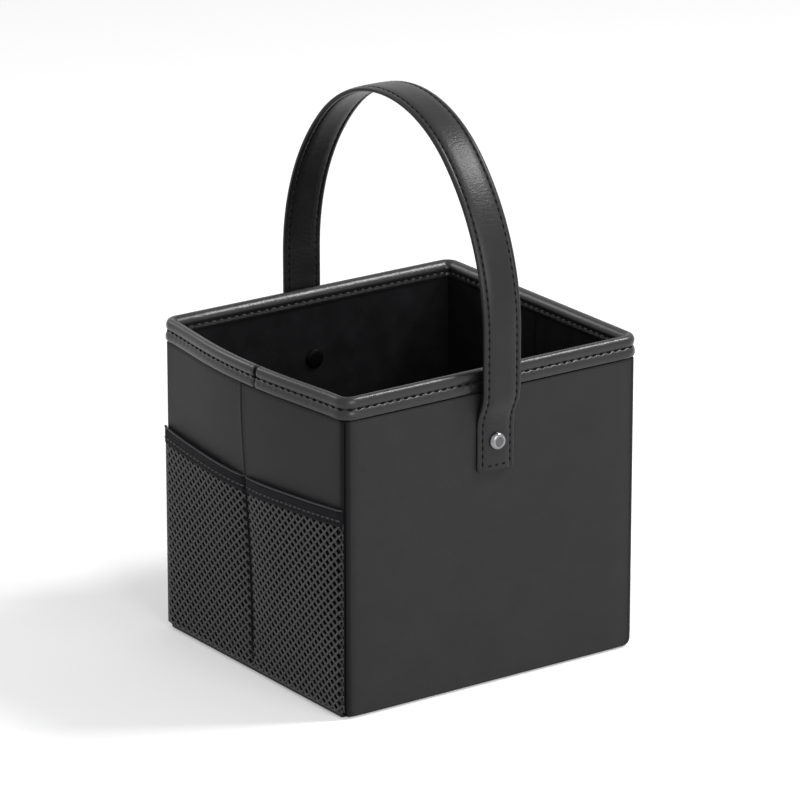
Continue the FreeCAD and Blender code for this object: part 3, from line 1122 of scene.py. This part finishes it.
class BOX_OT_pockets(bpy.types.Operator):
    """Models the diamond netting of the pockets, their ribbed elastic hem and its stitches."""

    bl_idname = "storagebox.pockets"
    bl_label = "Mesh pockets"

    def netting(self):
        """The diamond net: a grid poked, its square edges dissolved, and the rest made strands."""
        size = sizes()
        columns = round(2 * POCKET_HALF / size.net_wide)
        rows = round((HEM_LOW[2] - MESH_FOOT) / size.net_tall)
        obj = side_grid("pocket_netting", columns, rows)
        edit(obj)
        bpy.ops.mesh.select_all(action="SELECT")
        bpy.ops.mesh.poke()
        bpy.ops.mesh.select_mode(type="EDGE")
        bpy.ops.mesh.select_all(action="DESELECT")
        bpy.ops.object.mode_set(mode="OBJECT")
        mesh = obj.data
        for line in mesh.edges:
            a, b = (mesh.vertices[i].co for i in line.vertices)
            square = abs(a.x - b.x) < 0.1 / columns or abs(a.y - b.y) < 0.1 / rows
            inside = max(abs(a.x + b.x), abs(a.y + b.y)) < 0.9998
            line.select = square and inside
        bpy.ops.object.mode_set(mode="EDIT")
        bpy.ops.mesh.dissolve_edges(use_verts=False)
        bpy.ops.object.mode_set(mode="OBJECT")
        under_hem = size.hem_height * 0.8
        lay_on_side(obj, lambda y: MESH_FOOT, lambda y: mouth_height(y) - under_hem, 0.0003)
        wires = obj.modifiers.new("strands", "WIREFRAME")
        wires.thickness = size.strand
        wires.offset = 0.0
        wires.use_even_offset = True
        wires.use_relative_offset = False
        apply_modifiers(obj)
        bpy.ops.object.shade_smooth()
        yarn = yarn_finish("netting_yarn", colours().netting, 900.0, 0.42, 0.65)
        finish_piece(obj, "box", yarn, "netting", "pocket_mesh")
        return obj

    def hem(self):
        """The ribbed band along both pocket mouths, with a pale cord along its top edge."""
        size = sizes()
        rows = 18
        obj = side_grid("pocket_hem_elastic", 148, rows)
        obj.data.materials.append(yarn_finish("ribbed_elastic", colours().elastic, 700.0, 0.7, 0.15))
        obj.data.materials.append(yarn_finish("hem_piping", colours().piping, 1500.0, 0.5, 0.25))
        for item in obj.data.polygons:
            item.material_index = 1 if item.center.y > 0.5 - 1.1 / rows else 0
        for item in obj.data.vertices:
            index = round((item.co.y + 0.5) * rows)
            item.co.z = 0.0008 if index >= rows - 1 else 0.00055 + (0.0 if index % 3 else -0.00025)
            if index == rows - 2:
                item.co.z = 0.0002
        lay_on_side(obj, lambda y: mouth_height(y) - size.hem_height, mouth_height, 0.0003)
        thick = obj.modifiers.new("thick", "SOLIDIFY")
        thick.thickness = 0.0010
        thick.offset = 0.0
        apply_modifiers(obj)
        face_outwards(obj)
        bpy.ops.object.shade_smooth_by_angle(angle=math.radians(60))
        finish_piece(obj, "box", None, "elastic", "pocket_hem")
        return obj

    def hem_spot(self, y, share):
        """A place on the face of the hem."""
        z = mouth_height(y) - sizes().hem_height * share
        return Vector((-HALF_X - pocket_stand(y, z) - 0.0014, y, z))

    def hem_row(self, share, count):
        """A row of stitches along the hem at a share of its height from the top."""
        places = []
        for number in range(count):
            y = POCKET_HALF * (2 * (number + 0.5) / count - 1)
            along = (self.hem_spot(y + 0.0005, share) - self.hem_spot(y, share)).normalized()
            out = Vector((-1, 0, 0)) - along * along.dot(Vector((-1, 0, 0)))
            places.append((self.hem_spot(y, share), along, out))
        return places

    def execute(self, context):
        size = sizes()
        net = self.netting()
        hem = self.hem()
        master = stitch_master("hem_stitch", 0.0026, size.thread * 0.7)
        row = sew(master, "hem_stitches", self.hem_row(0.66, 44))
        pale = yarn_finish("hem_thread", [c * 1.4 for c in colours().piping], 1500.0, 0.5)
        finish_piece(row, "box", pale, "elastic")
        drop(master)
        return {"FINISHED"}


class BOX_OT_metal(bpy.types.Operator):
    """Models the plated rivets and their black inner caps, and finishes the boards inside the walls."""

    bl_idname = "storagebox.metal"
    bl_label = "Rivets and boards"

    def rivet(self, name, side):
        """A domed cap with a flat, slightly dished middle, on a short post."""
        post = (RIVET_HIGH[1] - RIVET_LOW[1]) * 1000
        profile = [(0.0, 1.95), (1.6, 1.97), (2.5, 2.06), (2.8, 2.18), (3.1, 2.2), (3.5, 2.05), (4.0, 1.6),
                   (4.4, 0.95), (4.6, 0.4), (4.5, 0.1), (4.2, 0.0), (2.0, 0.0), (2.0, 2.2 - post),
                   (0.0, 2.2 - post)]
        base = (0, side * (abs(RIVET_LOW[1]) - 0.0022), PIVOT.z)
        obj = lathe(name + "_dome", in_metres(profile), base, (0, side, 0))
        # Painted reflection: the flat middle takes a darker copy of the plating, standing in for the dark
        # surroundings it reflects.
        painted_reflection_tone = [c * 0.45 for c in colours().rivet]
        obj.data.materials.append(metal_finish("rivet_plating", colours().rivet, 1.0, 0.19, 0.05))
        obj.data.materials.append(metal_finish("rivet_face_painted_reflection", painted_reflection_tone, 1.0, 0.28, 0.12))
        for item in obj.data.polygons:
            near = math.hypot(item.center.x, item.center.z - PIVOT.z) < 0.0026
            item.material_index = 1 if near and abs(item.center.y) > abs(base[1]) else 0
        finish_piece(obj, "box", None, "rivet_metal", name)

    def cap(self, name, side):
        """A low black button on the lining."""
        height = (CAP_HIGH[1] - CAP_LOW[1]) * 1000
        profile = [(0.0, height), (3.2, height * 0.97), (4.4, height * 0.8), (5.05, height * 0.45),
                   (5.2, height * 0.15), (5.1, 0.0), (0.0, 0.0)]
        base = (0, side * abs(CAP_LOW[1]), PIVOT.z)
        obj = lathe(name + "_button", in_metres(profile), base, (0, -side, 0))
        enamel = metal_finish("black_enamel", (0.0015, 0.0015, 0.0017), 0.0, 0.5, 0.08, 0.06)
        finish_piece(obj, "box", enamel, "black_cap", name)

    def board(self, name):
        """A board of the pocket side, sprung out with its slack cover."""
        low, high = (Vector(corner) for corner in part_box(name))
        obj = block(name + "_plate", low, high)
        edit(obj)
        bpy.ops.mesh.select_all(action="SELECT")
        bpy.ops.mesh.subdivide(number_cuts=11)
        bpy.ops.object.mode_set(mode="OBJECT")
        lean_out(obj)
        finish_piece(obj, "box", board_finish(), "board", name)

    def execute(self, context):
        self.rivet("front_rivet", -1)
        self.rivet("back_rivet", 1)
        self.cap("front_rivet_cap", -1)
        self.cap("back_rivet_cap", 1)
        self.board("left_board_front")
        self.board("left_board_rear")
        for name in frame["nodes"]:
            if "board" in name:
                refinish(name, board_finish())
        return {"FINISHED"}


class BOX_OT_stage(bpy.types.Operator):
    """Sets the pale floor, the soft light and the camera."""

    bl_idname = "storagebox.stage"
    bl_label = "Stage"

    def lamp(self, name, place, width, power):
        """A square soft lamp that looks at the box."""
        clear_selection()
        bpy.ops.object.light_add(type="AREA", location=place)
        obj = bpy.context.object
        obj.name = name
        obj.data.shape = "RECTANGLE"
        obj.data.size = width
        obj.data.size_y = width
        obj.data.energy = power
        aim = Vector((0, 0, 0.14)) - Vector(place)
        obj.rotation_euler = aim.to_track_quat("-Z", "Y").to_euler()

    def seen_directly(self, tree):
        """A node that is 1 for what the camera, a reflection or a see-through surface looks at."""
        path = node(tree, "ShaderNodeLightPath")
        first = node(tree, "ShaderNodeMath", operation="MAXIMUM")
        link(tree, path, "Is Camera Ray", first, 0)
        link(tree, path, "Is Glossy Ray", first, 1)
        both = node(tree, "ShaderNodeMath", operation="MAXIMUM")
        link(tree, first, "Value", both, 0)
        link(tree, path, "Is Transmission Ray", both, 1)
        return both

    def floor(self):
        """A wide pale floor that looks white and still takes the box's shadow."""
        clear_selection()
        bpy.ops.mesh.primitive_plane_add(size=30.0, location=(0, 0, -0.0002))
        floor = new_piece("studio_floor")
        bpy.ops.object.transform_apply(location=True, rotation=True, scale=True)
        made, tree = new_material("pale_floor")
        shader = tree.nodes["Principled BSDF"]
        shader.inputs["Base Color"].default_value = (*colours().floor, 1.0)
        set_gloss(shader, 0.9, 0.0)
        glow = node(tree, "ShaderNodeEmission", {"Color": (1.0, 1.0, 1.0, 1.0)})
        lift = node(tree, "ShaderNodeMath", {1: 0.30}, operation="MULTIPLY")
        link(tree, self.seen_directly(tree), "Value", lift, 0)
        link(tree, lift, "Value", glow, "Strength")
        both = node(tree, "ShaderNodeAddShader")
        link(tree, shader, "BSDF", both, 0)
        link(tree, glow, "Emission", both, 1)
        link(tree, both, "Shader", tree.nodes["Material Output"], "Surface")
        floor.data.materials.append(made)

    def execute(self, context):
        self.floor()
        world = bpy.data.worlds.new("soft_studio")
        context.scene.world = world
        world.use_nodes = True
        backdrop = world.node_tree.nodes["Background"]
        backdrop.inputs["Color"].default_value = (1.0, 1.0, 1.0, 1.0)
        level = node(world.node_tree, "ShaderNodeMapRange", {"To Min": 0.45, "To Max": 1.0})
        link(world.node_tree, self.seen_directly(world.node_tree), "Value", level, "Value")
        link(world.node_tree, level, "Result", backdrop, "Strength")
        self.lamp("key_light", (0.98, -0.55, 1.45), 0.34, 18.0)
        self.lamp("rear_light", (-0.62, 1.42, 1.15), 0.42, 4.0)
        self.lamp("fill_light", (-0.1, -2.2, 0.9), 1.4, 25.0)
        azimuth = math.radians(-35.242)
        pitch = math.radians(18.598)
        level_part = math.cos(pitch)
        back = Vector((math.sin(azimuth) * level_part, -math.cos(azimuth) * level_part, math.sin(pitch)))
        bpy.ops.object.camera_add(location=(-1.4945, -2.1159, 0.9967))
        camera = bpy.context.object
        camera.name = "photo_camera"
        camera.rotation_euler = (-back).to_track_quat("-Z", "Y").to_euler()
        camera.data.lens = 247.7
        camera.data.sensor_width = 36.0
        camera.data.clip_start = 0.05
        camera.data.clip_end = 60.0
        context.scene.camera = camera
        context.scene.view_settings.view_transform = "Standard"
        return {"FINISHED"}


class BOX_PT_panel(bpy.types.Panel):
    """Lists the steps that dress the storage box."""

    bl_idname = "BOX_PT_panel"
    bl_label = "Storage box"
    bl_space_type = "VIEW_3D"
    bl_region_type = "UI"
    bl_category = "Storage box"

    def draw(self, context):
        for step in STEPS:
            self.layout.operator(step.bl_idname)
        for group in (context.scene.box_sizes, context.scene.box_colours):
            for key in group.__annotations__:
                self.layout.prop(group, key)


STEPS = (
    BOX_OT_leather_panels, BOX_OT_lining, BOX_OT_rim_binding, BOX_OT_handle, BOX_OT_pockets, BOX_OT_metal,
    BOX_OT_stage)
CLASSES = (BoxSizes, BoxColours) + STEPS + (BOX_PT_panel,)


def register():
    for item in CLASSES:
        bpy.utils.register_class(item)
    bpy.types.Scene.box_sizes = PointerProperty(type=BoxSizes)
    bpy.types.Scene.box_colours = PointerProperty(type=BoxColours)


def unregister():
    del bpy.types.Scene.box_colours
    del bpy.types.Scene.box_sizes
    for item in reversed(CLASSES):
        bpy.utils.unregister_class(item)


def main():
    register()
    bpy.ops.storagebox.leather_panels()
    bpy.ops.storagebox.lining()
    bpy.ops.storagebox.rim_binding()
    bpy.ops.storagebox.handle()
    bpy.ops.storagebox.pockets()
    bpy.ops.storagebox.metal()
    bpy.ops.storagebox.stage()


if __name__ == "__main__":
    main()
